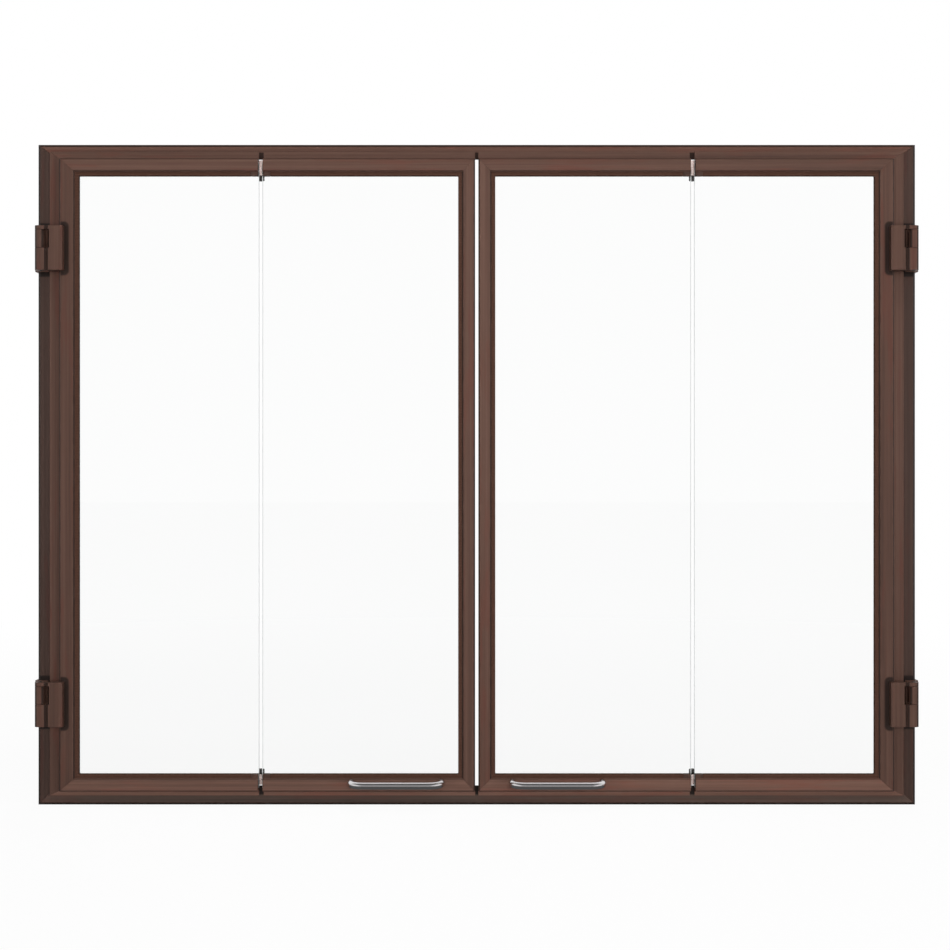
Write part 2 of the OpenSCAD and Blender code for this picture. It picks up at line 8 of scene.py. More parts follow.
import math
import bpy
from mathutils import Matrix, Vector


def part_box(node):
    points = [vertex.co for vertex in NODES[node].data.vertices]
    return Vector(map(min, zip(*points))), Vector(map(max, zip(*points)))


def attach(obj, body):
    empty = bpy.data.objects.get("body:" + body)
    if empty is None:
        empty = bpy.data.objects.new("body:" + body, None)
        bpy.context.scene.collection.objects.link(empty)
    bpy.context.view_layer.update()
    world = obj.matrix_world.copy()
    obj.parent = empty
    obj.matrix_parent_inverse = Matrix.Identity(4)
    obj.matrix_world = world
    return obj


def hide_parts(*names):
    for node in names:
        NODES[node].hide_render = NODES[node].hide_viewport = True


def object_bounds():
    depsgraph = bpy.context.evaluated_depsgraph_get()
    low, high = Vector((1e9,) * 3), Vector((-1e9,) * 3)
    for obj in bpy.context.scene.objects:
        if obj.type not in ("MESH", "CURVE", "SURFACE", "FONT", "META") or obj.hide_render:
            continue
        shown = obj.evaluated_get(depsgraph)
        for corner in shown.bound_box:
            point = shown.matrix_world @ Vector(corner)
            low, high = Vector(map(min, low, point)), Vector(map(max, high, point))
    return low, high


bl_info = {
    "name": "Bi-fold glass fireplace door",
    "version": (1, 0, 0),
    "blender": (4, 5, 0),
    "location": "3D View > Sidebar > Glass door",
    "description": "Dresses the steel, glass and hardware of a bi-fold fireplace door",
    "category": "Object",
}

from collections import namedtuple
from functools import reduce

import bpy
from bpy.props import FloatProperty, FloatVectorProperty, PointerProperty
from mathutils import Vector

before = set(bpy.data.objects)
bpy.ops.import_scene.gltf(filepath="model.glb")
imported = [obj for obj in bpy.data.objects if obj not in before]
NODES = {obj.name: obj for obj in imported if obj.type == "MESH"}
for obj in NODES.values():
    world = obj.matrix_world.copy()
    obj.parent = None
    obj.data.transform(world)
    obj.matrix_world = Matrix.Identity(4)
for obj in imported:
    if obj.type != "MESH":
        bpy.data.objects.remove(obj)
CAD_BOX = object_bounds()
SIDES = ("left", "right")
LEAVES = ("outer", "inner")
MM = 0.001

WELD_GAP = 0.002 * MM            # corners of a CAD node closer than this are one
DOUBLE_GAP = 0.001 * MM          # points of a new piece closer than this are one
FLAT_TURN = math.radians(0.3)    # faces that turn less than this are one flat face
EDGE_TURN = math.radians(35)     # edges that turn more than this are rounded
FACING = 0.9                     # a face looks along an axis if its normal passes this
QUARTER = math.pi / 2
ROUND = 40                       # sides of a round head or rod
PIN_ROUND = 32                   # sides of a hinge pin


# ---- settings that a user would change ----


def colour(name, description, value):
    return FloatVectorProperty(name=name, description=description, default=value,
                               subtype="COLOR", size=3, min=0, max=1)


def length(name, description, value, low, high):
    return FloatProperty(name=name, description=description, default=value,
                         min=low, max=high, subtype="DISTANCE", unit="LENGTH")


class DoorFinishes(bpy.types.PropertyGroup):
    """Colours of the door's steel, glass and trim"""

    bronze: colour("Bronze", "Body colour of the oil-rubbed bronze", (0.122, 0.064, 0.047))
    bronze_light: colour("Bronze streaks", "Where the brushing rubs through",
                         (0.170, 0.092, 0.069))
    # The dark of the patina's streaks, and also the base of the painted shade and shadow on the
    # bronze.
    bronze_dark_and_shade: colour("Bronze patina", "Where the patina stays dark",
                        (0.078, 0.044, 0.034))
    bronze_red: colour("Bronze mottling", "Reddish patches in the patina",
                       (0.150, 0.052, 0.037))
    nickel: colour("Nickel", "Satin nickel of the handles", (0.78, 0.755, 0.76))
    zinc: colour("Zinc", "Plated steel of plates and screws", (0.66, 0.62, 0.59))
    # Partly painted highlight: near white so that the fold hinges look bright in the shaded slits
    # between the leaves.
    fold_nickel_and_highlight: colour("Fold hinge steel", "Nickel-washed steel of the fold hinges",
                       (0.98, 0.80, 0.745))
    dark_steel: colour("Dark steel", "Blackened steel of catches and pins",
                       (0.050, 0.048, 0.046))
    clip_brown: colour("Clip lacquer", "Brown lacquer of the gasket's end clips",
                       (0.055, 0.028, 0.020))
    gasket: colour("Gasket", "Woven seal round the glass", (0.060, 0.028, 0.019))
    glass_edge: colour("Glass edge", "Tint seen through the cut edge",
                       (0.82, 0.88, 0.86))


class DoorSizes(bpy.types.PropertyGroup):
    """Sizes of the fine shapes that are modelled here"""

    steel_edge: length("Steel edge", "Rounding of the sheet steel's edges",
                       0.35 * MM, 0.05 * MM, 1 * MM)
    glass_seam: length("Glass seam", "Chamfer ground on the edges of the glass",
                       0.5 * MM, 0.1 * MM, 1.5 * MM)
    gasket_edge: length("Gasket edge", "Rounding of the gasket's bead",
                        0.8 * MM, 0.1 * MM, 1.2 * MM)
    handle_bend: length("Handle bend", "Radius of the bends, at the rod's middle line",
                        14 * MM, 8 * MM, 20 * MM)
    recess_depth: length("Recess depth", "Depth of the cross in a screw head",
                         0.9 * MM, 0.3 * MM, 2 * MM)
    pin_dome: length("Pin dome", "Height of the dome on a hinge pin's ends",
                     0.7 * MM, 0.2 * MM, 2 * MM)
    valley_inset: length("Hinge valley", "From the barrel's outer side to the valley beside it",
                         12.4 * MM, 10.5 * MM, 14 * MM)
    valley_depth: length("Valley depth", "Depth of the valley between barrel and block",
                         2.1 * MM, 0.5 * MM, 3 * MM)
    # Reach of the painted shadow round the hinge blocks and behind the slits between the leaves.
    painted_shadow_reach: length("Patina reach", "How far dark patina gathers round a hinge block",
                         6 * MM, 1 * MM, 20 * MM)


def share(name, description, value, high=1):
    return FloatProperty(name=name, description=description, default=value, min=0, max=high)


def power(name, description, value):
    return FloatProperty(name=name, description=description, default=value, min=0, max=200,
                         subtype="POWER", unit="POWER")


class DoorStage(bpy.types.PropertyGroup):
    """The studio round the door"""

    distance: length("Camera distance", "From the frame's face to the camera", 1.8, 1, 6)
    picture_width: length("Picture width", "Width seen at the frame's face", 0.9895, 0.5, 3)
    ambient: share("Ambient", "Strength of the room's light", 0.24, 2)
    room: share("Room", "Brightness of the room that the door mirrors", 0.45)
    shade: share("Dark room", "What metal mirrors from the floor in front and from high above",
                 0.10)
    top: power("Top lamp", "Power of the lamp above the door", 20)
    front: power("Front lamp", "Power of the lamp behind the camera", 22)
    left: power("Left lamp", "Power of the low lamp at the left", 7)
    right: power("Right lamp", "Power of the low lamp at the right", 10)
    back: power("Back lamp", "Power of the lamp behind the door", 20)


# ---- modelling helpers ----


def deselect():
    bpy.ops.object.select_all(action="DESELECT")


def pick(*objects):
    """Selects these objects alone, the last of them active."""
    deselect()
    for o in objects:
        o.select_set(True)
    bpy.context.view_layer.objects.active = objects[-1]
    return objects[-1]


def edit(o, wanted=None, kind="FACE"):
    """Opens o in edit mode with the faces or edges that wanted(middle, normal or run) names."""
    pick(o)
    mesh = o.data
    bpy.ops.object.mode_set(mode="EDIT")
    bpy.ops.mesh.select_mode(type=kind)
    bpy.ops.mesh.select_all(action="DESELECT" if wanted else "SELECT")
    if wanted:
        bpy.ops.object.mode_set(mode="OBJECT")
        if kind == "FACE":
            for p in mesh.polygons:
                p.select = wanted(p.center, p.normal)
        else:
            for e in mesh.edges:
                ends = [mesh.vertices[i].co for i in e.vertices]
                e.select = wanted((ends[0] + ends[1]) / 2, ends[1] - ends[0])
        bpy.ops.object.mode_set(mode="EDIT")


def done():
    """Leaves edit mode."""
    bpy.ops.object.mode_set(mode="OBJECT")
    return bpy.context.view_layer.objects.active


def extrude(x=0.0, y=0.0, z=0.0):
    bpy.ops.mesh.extrude_region_move(TRANSFORM_OT_translate={"value": (x, y, z)})


def settle(o):
    """Puts the piece's place into its mesh."""
    pick(o)
    bpy.ops.object.transform_apply(location=True, rotation=True, scale=True)
    return o


def outward(o):
    """Merges doubles and turns all faces outwards."""
    edit(o)
    bpy.ops.mesh.remove_doubles(threshold=DOUBLE_GAP)
    bpy.ops.mesh.normals_make_consistent(inside=False)
    return done()


def smooth(o, degrees):
    pick(o)
    bpy.ops.object.shade_smooth_by_angle(angle=math.radians(degrees))
    return o


def cut_away(o, tool):
    """Cuts tool out of o and removes the tool."""
    made = o.modifiers.new("Cut", "BOOLEAN")
    made.operation, made.solver, made.object = "DIFFERENCE", "EXACT", tool
    pick(o)
    bpy.ops.object.modifier_apply(modifier=made.name)
    bpy.data.objects.remove(tool)


def copy_of(o, location=(0, 0, 0), rotation=(0, 0, 0)):
    """A copy of o with its own mesh, its place in the mesh."""
    made = o.copy()
    made.data = o.data.copy()
    bpy.context.scene.collection.objects.link(made)
    made.location, made.rotation_euler = location, rotation
    return settle(made)


def joined(pieces, name):
    made = pick(*pieces)
    bpy.ops.object.join()
    made.name = made.data.name = name
    return made


def dress(o, materials):
    o.data.materials.clear()
    for m in materials:
        o.data.materials.append(m)
    return o


def finish_piece(o, body, materials, stands_for):
    """Gives a new piece its finish and body, and hides the CAD nodes that it stands for."""
    dress(o, materials)
    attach(o, body)
    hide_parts(*stands_for)


def soften(piece, width, materials, segments=2):
    """Rounds the edges of a CAD node or a new piece and gives it its finish and its wear."""
    o = NODES[piece] if isinstance(piece, str) else piece
    weld = o.modifiers.new("Weld", "WELD")
    weld.merge_threshold = WELD_GAP
    flat = o.modifiers.new("Flat faces", "DECIMATE")
    flat.decimate_type, flat.angle_limit = "DISSOLVE", FLAT_TURN
    bevel = o.modifiers.new("Edge", "BEVEL")
    bevel.width, bevel.segments = width, segments
    bevel.limit_method, bevel.angle_limit = "ANGLE", EDGE_TURN
    bevel.use_clamp_overlap = True
    if len(materials) > 1:
        bevel.material = 1
    shade = o.modifiers.new("Shade", "WEIGHTED_NORMAL")
    shade.keep_sharp = False
    return dress(o, materials)


def apply_all(o):
    """Applies a new piece's modifiers."""
    pick(o)
    for name in [m.name for m in o.modifiers]:
        bpy.ops.object.modifier_apply(modifier=name)


def solids(node):
    """Lowest and highest corner of each separate solid of a CAD node."""
    mesh = NODES[node].data
    per_metre = 1e5     # corners that agree to a hundredth of a millimetre are one
    decimals = 4        # the solids' order goes by their low corners, rounded to this
    home = {}

    def find(key):
        while home[key] != key:
            home[key] = home[home[key]]
            key = home[key]
        return key

    keys = [tuple(round(x * per_metre) for x in v.co) for v in mesh.vertices]
    for key in keys:
        home.setdefault(key, key)
    for p in mesh.polygons:
        first = find(keys[p.vertices[0]])
        for i in p.vertices[1:]:
            home[find(keys[i])] = first
    boxes = {}
    for v, key in zip(mesh.vertices, keys):
        low, high = boxes.setdefault(find(key), (v.co.copy(), v.co.copy()))
        for i in range(3):
            low[i], high[i] = min(low[i], v.co[i]), max(high[i], v.co[i])
    return sorted(boxes.values(), key=lambda b: tuple(round(x, decimals) for x in b[0]))


# ---- shader helpers ----


class Value:
    """A shader socket that Python's operators work on."""

    def __init__(self, shader, socket):
        self.shader, self.socket = shader, socket

    def __add__(self, other):
        return self.shader.function("ADD", self, other)

    def __sub__(self, other):
        return self.shader.function("SUBTRACT", self, other)

    def __rsub__(self, other):
        return self.shader.function("SUBTRACT", other, self)

    def __mul__(self, other):
        return self.shader.function("MULTIPLY", self, other)

    __radd__, __rmul__ = __add__, __mul__


# Noise: repeats per metre along and across its axis, levels of detail, and their roughness.
Grain = namedtuple("Grain", "along across detail roughness")

# Colour sockets of a Mix node, whose names repeat.
MIX_A, MIX_B, MIX_RESULT = 6, 7, 2


def set_stops(elements, stops):
    """Gives a colour ramp these stops, each a place and a colour."""
    while len(elements) < len(stops):
        elements.new(stops[1][0])
    for element, (place, tone) in zip(elements, stops):
        element.position, element.color = place, (*tone, 1)


class Shader:
    """A material or a world built node by node."""

    def __init__(self, owner):
        owner.use_nodes = True
        self.owner, self.tree = owner, owner.node_tree
        self.tree.nodes.clear()

    def node(self, kind, settings=None, sockets=None, output=0):
        """A new node: its settings first, then the values or links of its sockets."""
        made = self.tree.nodes.new(kind)
        for key, value in (settings or {}).items():
            if key == "stops":
                set_stops(made.color_ramp.elements, value)
            else:
                setattr(made, key, value)
        for key, value in (sockets or {}).items():
            if isinstance(value, Value):
                self.tree.links.new(value.socket, made.inputs[key])
            else:
                made.inputs[key].default_value = value
        return Value(self, made.outputs[output]) if made.outputs else None

    def function(self, operation, *values):
        return self.node("ShaderNodeMath", {"operation": operation}, dict(enumerate(values)))

    def least(self, *values):
        return reduce(lambda a, b: self.function("MINIMUM", a, b), values)

    def most(self, *values):
        return reduce(lambda a, b: self.function("MAXIMUM", a, b), values)

    def size_of(self, value):
        """The value without its sign."""
        return self.function("ABSOLUTE", value)

    def step(self, factor, low, high):
        """0 up to low, 1 from high on, and a smooth rise between."""
        return self.node("ShaderNodeMapRange", {"interpolation_type": "SMOOTHSTEP"},
                         {"Value": factor, "From Min": low, "From Max": high})

    def coordinates(self, kind, scale=None):
        spot = self.node("ShaderNodeTexCoord", output=kind)
        if scale:
            spot = self.node("ShaderNodeMapping", {}, {"Vector": spot, "Scale": scale})
        return spot

    def part(self, vector, axis):
        return self.node("ShaderNodeSeparateXYZ", {}, {0: vector}, axis)

    def noise(self, grain, axis="Z"):
        """Noise that runs along an axis of the object."""
        scale = [grain.along if way == axis else grain.across for way in "XYZ"]
        return self.node("ShaderNodeTexNoise", {},
                         {"Vector": self.coordinates("Object", scale), "Scale": 1.0,
                          "Detail": grain.detail, "Roughness": grain.roughness})

    def ramp(self, factor, places, colours):
        return self.node("ShaderNodeValToRGB", {"stops": list(zip(places, colours))},
                         {"Fac": factor})

    def mix(self, factor, a, b):
        a, b = [c if isinstance(c, Value) else (*c, 1) for c in (a, b)]
        return self.node("ShaderNodeMix", {"data_type": "RGBA"},
                         {0: factor, MIX_A: a, MIX_B: b}, MIX_RESULT)

    def bump(self, height, depth, strength):
        return self.node("ShaderNodeBump", {},
                         {"Height": height, "Distance": depth, "Strength": strength})

    def output(self, closure, kind="ShaderNodeOutputMaterial"):
        """Ends the tree in its output node and gives back the material or world."""
        self.node(kind, {}, {"Surface": closure})
        return self.owner

    def surface(self, sockets):
        return self.output(self.node("ShaderNodeBsdfPrincipled", {}, sockets))


def new_material(name):
    return Shader(bpy.data.materials.new(name))


def shaded(tone, factor):
    """A colour times one factor, or one each for red, green and blue."""
    factors = factor if isinstance(factor, tuple) else (factor,) * 3
    return tuple(a * b for a, b in zip(factors, tone))


# ---- finishes ----

PLAIN = (1, 1, 1)                       # scale of coordinates in metres
STREAKS = Grain(2.5, 420, 3, 0.55)      # brushing of the bronze
BANDS = Grain(1.2, 110, 2, 0.5)
CLOUDS = Grain(9, 90, 4, 0.6)
HAIRLINES = Grain(30, 2600, 3, 0.6)
RUBBING = Grain(70, 70, 4, 0.65)        # wear on the bronze's edges
ROD_GRAIN = Grain(2600, 900, 3, 0.6)    # rubbed nickel of the handles
ROD_MARKS = Grain(60, 60, 3, 0.55)
WASH_GRAIN = Grain(900, 500, 3, 0.6)    # nickel wash of the fold hinges
WASH_WEAR = Grain(130, 130, 3, 0.6)
DIRT = Grain(45, 45, 4, 0.6)            # dirt on zinc
BLOOM = Grain(120, 120, 4, 0.6)         # bloom on black steel
FERRITE = Grain(1600, 1600, 2, 0.6)
FIBRES = Grain(900, 900, 3, 0.6)        # threads of the gasket
MOULDING = Grain(700, 700, 3, 0.6)      # skin of rubber
WAVES = Grain(6, 6, 1, 0.4)             # tint of clear glass
GRINDING = Grain(500, 500, 3, 0.6)      # ground edge of glass
FLAKES = (240, 240, 240)                # zinc crystals per metre
GASKET_RIB = 1.6 * MM
GLASS_IOR = 1.5


def hinge_shadow_mask(s, face, reach):
    """Painted shadow: 1 on a face at this Y beside the side hinges' blocks, fading to 0 at this
    reach.
    """
    near, skin = 0.6, 2 * MM    # share of the reach that stays dark, and depth of the face
    spot = s.coordinates("Object", PLAIN)
    x, z = s.size_of(s.part(spot, "X")), s.part(spot, "Z")
    blocks = [((low + high) / 2, (high - low) / 2) for low, high in solids("right_hinge_blocks")]
    middle, half = blocks[-1]    # the blocks of a side are in one line
    beside = s.most(s.size_of(x - middle.x) - half.x, 0)
    above = s.most(s.least(*[s.size_of(z - m.z) - h.z for m, h in blocks]), 0)
    away = s.function("SQRT", beside * beside + above * above)
    behind = s.step(s.part(spot, "Y"), face + skin, face + 2 * skin)
    return (1 - s.step(away, near * reach, reach)) * (1 - behind)


def slit_shadow_mask(s, reach):
    """Painted shadow: 1 behind the slits between the leaves, fading to 0 at this reach from their
    middles.
    """
    near = 0.6                  # share of the reach that stays dark
    spot = s.coordinates("Object", PLAIN)
    x, z = s.part(spot, "X"), s.part(spot, "Z")
    folds = [sum(corner.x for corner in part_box(side + "_fold_pins")) / 2 for side in SIDES]
    away = s.least(*[s.size_of(x - slit) for slit in (0, *folds)])
    low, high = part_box("left_inner_bottom_rail")[0].z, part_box("left_inner_top_rail")[1].z
    level = s.step(z, low, low + MM) * (1 - s.step(z, high - MM, high))
    return (1 - s.step(away, near * reach, reach)) * level


def brushed_bronze(name, along, tone=1.0, patina=0.9, hinged_at=None, shadow_behind_slits=False):
    """Oil-rubbed bronze over brushed steel, its streaks along the member.

    Slanted edges turn dark, partly as patina in the hollows and partly as painted shade of the
    grooves and chamfers. Painted shadow darkens a face at the Y of hinged_at round the side
    hinges, and, where it is asked for, a member behind the slits between the leaves. A tone is
    one factor, or one each for red, green and blue, and patina is how much of that darkening the
    slanted edges keep.
    """
    c, reach = bpy.context.scene.door_finishes, bpy.context.scene.door_sizes.painted_shadow_reach
    body, light, dark, red = [shaded(x, tone) for x in
                              (c.bronze, c.bronze_light, c.bronze_dark_and_shade, c.bronze_red)]
    s = new_material(name)
    streak, band = s.noise(STREAKS, along), s.noise(BANDS, along)
    cloud, hair = s.noise(CLOUDS, along), s.noise(HAIRLINES, along)

    streak_share, places = 0.55, (0.28, 0.50, 0.72)
    red_share, red_from, red_to = 0.55, 0.50, 0.66
    hair_share, hair_from, hair_to = 0.30, 0.45, 0.70
    base = s.ramp(streak_share * streak + (1 - streak_share) * band, places, (dark, body, light))
    warm = s.mix(red_share * s.step(cloud, red_from, red_to), base, red)
    tint = s.mix(hair_share * s.step(hair, hair_from, hair_to), warm, light)

    # Slanted faces turn dark: partly patina in the hollows, partly painted shade of the grooves
    # and chamfers.
    slanted, straight, painted_shade_level = (0.30, 0.55), (0.80, 0.95), 0.35
    tilt = s.size_of(s.part(s.coordinates("Normal"), "Y"))
    patina_and_shade = patina * s.step(tilt, *slanted) * (1 - s.step(tilt, *straight))
    # Painted shadow round the side hinges' blocks.
    if hinged_at is not None:
        patina_and_shade = s.most(patina_and_shade, hinge_shadow_mask(s, hinged_at, reach))
    # Painted shadow behind the slits between the leaves.
    if shadow_behind_slits:
        patina_and_shade = s.most(patina_and_shade, slit_shadow_mask(s, reach))
    # Painted shade and shadow, with some patina on the slanted edges, darken the bronze here.
    tint = s.mix(patina_and_shade, tint, shaded(dark, painted_shade_level))

    smoothest, hair_rough, cloud_rough, shade_rough = 0.34, 0.10, 0.14, 0.2
    metal, shade_metal, coat, coat_rough = 0.45, 0.2, 0.08, 0.35
    hair_height, streak_height, depth, strength = 0.7, 0.3, 0.06 * MM, 0.35
    return s.surface({
        "Base Color": tint,
        "Roughness": smoothest + hair_rough * hair + cloud_rough * cloud + shade_rough * patina_and_shade,
        "Metallic": metal - shade_metal * patina_and_shade,
        "Coat Weight": coat * (1 - patina_and_shade), "Coat Roughness": coat_rough,
        "Normal": s.bump(hair_height * hair + streak_height * streak, depth, strength)})


def worn_bronze(name, tone=1.0):
    """Edges where handling has rubbed the patina thin."""
    rub_from, rub_to, bright = 0.38, 0.62, 1.1
    smoothest, rub_rough, metal = 0.30, 0.12, 0.7
    c = bpy.context.scene.door_finishes
    s = new_material(name)
    rub = s.noise(RUBBING)
    tint = s.mix(s.step(rub, rub_from, rub_to), shaded(c.bronze, tone),
                 shaded(c.bronze_light, bright * tone))
    return s.surface({"Base Color": tint, "Roughness": smoothest + rub_rough * rub,
                      "Metallic": metal})


def satin_nickel(name):
    """Satin nickel, rubbed round the rod, with faint handling marks."""
    grain_share, grain_shade = 0.5, 0.8
    smoothest, grain_rough, mark_rough, depth, strength = 0.17, 0.06, 0.06, 0.008 * MM, 0.25
    nickel = bpy.context.scene.door_finishes.nickel
    s = new_material(name)
    grain, marks = s.noise(ROD_GRAIN, "X"), s.noise(ROD_MARKS)
    return s.surface({
        "Base Color": s.mix(grain_share * grain, nickel, shaded(nickel, grain_shade)),
        "Roughness": smoothest + grain_rough * grain + mark_rough * marks,
        "Metallic": 1.0, "Normal": s.bump(grain, depth, strength)})


def highlit_nickel_wash(name):
    """Nickel wash on the fold hinges, pale and a little matt; its near-white colour is partly
    painted highlight, standing in for the shine of the fold hinges in the shaded slits between the
    leaves.
    """
    wear_share, wear_from, wear_to, wear_shade = 0.55, 0.45, 0.7, 0.88
    smoothest, grain_rough, metal, depth, strength = 0.30, 0.12, 0.05, 0.01 * MM, 0.3
    wash = bpy.context.scene.door_finishes.fold_nickel_and_highlight
    s = new_material(name)
    grain, wear = s.noise(WASH_GRAIN), s.noise(WASH_WEAR)
    return s.surface({
        "Base Color": s.mix(wear_share * s.step(wear, wear_from, wear_to), wash,
                            shaded(wash, wear_shade)),
        "Roughness": smoothest + grain_rough * grain, "Metallic": metal,
        "Normal": s.bump(grain, depth, strength)})


def plated_zinc(name):
    """Zinc plate with its soft crystal pattern, and some dirt."""
    flake_share, flake_shade, smoothest, flake_rough, metal = 0.5, 0.72, 0.28, 0.18, 0.9
    dirt_share, dirt_from, dirt_to, grime = 0.35, 0.5, 0.75, (0.22, 0.20, 0.18)
    depth, strength = 0.03 * MM, 0.3
    zinc = bpy.context.scene.door_finishes.zinc
    s = new_material(name)
    cells = s.node("ShaderNodeTexVoronoi", {"feature": "F1"},
                   {"Vector": s.coordinates("Object", FLAKES), "Scale": 1.0}, "Color")
    flake = s.node("ShaderNodeSeparateColor", {}, {0: cells})
    dirt = s.noise(DIRT)
    plate = s.mix(flake_share * flake, zinc, shaded(zinc, flake_shade))
    return s.surface({
        "Base Color": s.mix(dirt_share * s.step(dirt, dirt_from, dirt_to), plate, grime),
        "Roughness": smoothest + flake_rough * flake, "Metallic": metal,
        "Normal": s.bump(dirt, depth, strength)})


def blackened_steel(name, metal=0.6, tone=None, bloom_tone=2.1):
    """Blackened or lacquered steel with a slight bloom."""
    bloom_from, bloom_to, smoothest, bloom_rough = 0.4, 0.7, 0.38, 0.2
    depth, strength = 0.03 * MM, 0.4
    tone = tone or bpy.context.scene.door_finishes.dark_steel
    s = new_material(name)
    bloom = s.noise(BLOOM)
    return s.surface({
        "Base Color": s.mix(s.step(bloom, bloom_from, bloom_to), tone, shaded(tone, bloom_tone)),
        "Roughness": smoothest + bloom_rough * bloom, "Metallic": metal,
        "Normal": s.bump(bloom, depth, strength)})


def magnet_ferrite(name):
    """Pressed ferrite, grey and finely grained."""
    dark, light, metal = (0.030, 0.031, 0.034), (0.085, 0.086, 0.092), 0.2
    smoothest, grain_rough, depth, strength = 0.55, 0.2, 0.04 * MM, 0.5
    s = new_material(name)
    grain = s.noise(FERRITE)
    return s.surface({"Base Color": s.mix(grain, dark, light),
                      "Roughness": smoothest + grain_rough * grain, "Metallic": metal,
                      "Normal": s.bump(grain, depth, strength)})


def woven_gasket(name):
    """Glass-fibre tape: ribs across its height, crossed by finer threads."""
    level, rib_height, fibre_height, depth, strength = 0.35, 0.3, 0.4, 0.25 * MM, 0.7
    dark, light, roughest, fibre_smooth, specular = 0.55, 1.5, 0.85, 0.15, 0.2
    weave = bpy.context.scene.door_finishes.gasket
    s = new_material(name)
    up = s.part(s.coordinates("Object", PLAIN), "Z")
    rib = s.function("SINE", up * (2 * math.pi / GASKET_RIB))
    fibre = s.noise(FIBRES)
    height = level + rib_height * rib + fibre_height * fibre
    return s.surface({"Base Color": s.mix(height, shaded(weave, dark), shaded(weave, light)),
                      "Roughness": roughest - fibre_smooth * fibre,
                      "Specular IOR Level": specular,
                      "Normal": s.bump(height, depth, strength)})


def bumper_rubber(name):
    """Moulded rubber dot."""
    dark, light = (0.012, 0.012, 0.012), (0.035, 0.034, 0.033)
    smoothest, grain_rough, depth, strength = 0.6, 0.2, 0.05 * MM, 0.4
    s = new_material(name)
    grain = s.noise(MOULDING)
    return s.surface({"Base Color": s.mix(grain, dark, light),
                      "Roughness": smoothest + grain_rough * grain,
                      "Normal": s.bump(grain, depth, strength)})


def clear_glass(name):
    """Clear tempered glass, which mirrors a little less than its index would."""
    cool, white, specular = (0.992, 0.997, 0.994), (0.998, 1.0, 0.999), 0.25
    s = new_material(name)
    return s.surface({"Base Color": s.mix(s.noise(WAVES), cool, white), "Roughness": 0.0,
                      "IOR": GLASS_IOR, "Specular IOR Level": specular,
                      "Transmission Weight": 1.0})


def ground_glass(name):
    """The seamed and ground edge of a pane."""
    frost, smoothest, grind_rough, clarity = (0.96, 0.98, 0.97), 0.25, 0.2, 0.85
    depth, strength = 0.03 * MM, 0.4
    s = new_material(name)
    grind = s.noise(GRINDING)
    return s.surface({
        "Base Color": s.mix(grind, bpy.context.scene.door_finishes.glass_edge, frost),
        "Roughness": smoothest + grind_rough * grind, "IOR": GLASS_IOR,
        "Transmission Weight": clarity, "Normal": s.bump(grind, depth, strength)})


# ---- the pieces ----


# Run, tone and patina of the bronze, member by member. The tones are set so that the render
# looks like the photo, and make up for its light as well as for the finish.
# The patina share darkens the rails' slanted edges, partly as patina and partly as painted shade.
TOP_RAILS = {"along": "X", "tone": 1.12, "patina": 0.45}
BOTTOM_RAILS = {"along": "X", "tone": 1.65, "patina": 0.6}
CENTRE_STILES = {"along": "Z", "tone": 1.12}
OUTER_STILES = {"along": "Z", "tone": 0.98}
# The header and sill take painted shadow behind the slits between the leaves.
HEADER = {"along": "X", "tone": (1.16, 1.10, 1.08), "shadow_behind_slits": True}
SILL = {"along": "X", "tone": (0.88, 1.12, 1.22), "shadow_behind_slits": True}
JAMBS = {"along": "Z", "tone": (0.57, 0.62, 0.66)}
HINGES = {"along": "Z"}
FRAME_EDGE_TONE = 0.6

# Rounding of the edges of the small parts.
HINGE_EDGE = 0.5 * MM
FOLD_PIN_EDGE = 0.4 * MM
PLATE_EDGE = 0.25 * MM
END_CLIP_EDGE = 0.5 * MM
HANDLE_SCREW_EDGE = 0.15 * MM
BRACKET_EDGE = 0.4 * MM
MAGNET_EDGE = 0.3 * MM
BUMPER_EDGE = 0.4 * MM
MOUNTING_CLIP_EDGE = 0.3 * MM

# Heights of the pan heads, and the depth of a strap screw's countersunk head.
FOLD_HEAD = 1.0 * MM
CATCH_HEAD = 1.8 * MM
MOUNTING_HEAD = 2.4 * MM
STRAP_HEAD = 1.6 * MM


class DOOR_OT_steel(bpy.types.Operator):
    """Give the frame's angle steel and the leaves' channels their bronze finish"""

    bl_idname = "door.steel"
    bl_label = "Steel members"

    def execute(self, context):
        width = context.scene.door_sizes.steel_edge
        edge = worn_bronze("bronze_worn_edge")
        rails = {"top": brushed_bronze("bronze_top_rails", **TOP_RAILS),
                 "bottom": brushed_bronze("bronze_bottom_rails", **BOTTOM_RAILS)}
        # The outer stiles and the jambs take painted shadow round the hinge blocks.
        stiles = {"inner": brushed_bronze("bronze_centre_stiles", **CENTRE_STILES),
                  "outer": brushed_bronze("bronze_outer_stiles", **OUTER_STILES,
                                          hinged_at=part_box("left_outer_stile")[0].y)}
        head = brushed_bronze("bronze_header", **HEADER)
        foot = brushed_bronze("bronze_sill", **SILL)
        upright = brushed_bronze("bronze_jambs", **JAMBS, hinged_at=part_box("jamb_left")[0].y)
        shaded_edge = worn_bronze("bronze_frame_edge", FRAME_EDGE_TONE)
        soften("header", width, [head, shaded_edge])
        soften("sill", width, [foot, shaded_edge])
        for side in SIDES:
            soften("jamb_" + side, width, [upright, shaded_edge])
            for leaf in LEAVES:
                soften(f"{side}_{leaf}_stile", width, [stiles[leaf], edge])
                for level, rail in rails.items():
                    soften(f"{side}_{leaf}_{level}_rail", width, [rail, edge])
        return {"FINISHED"}


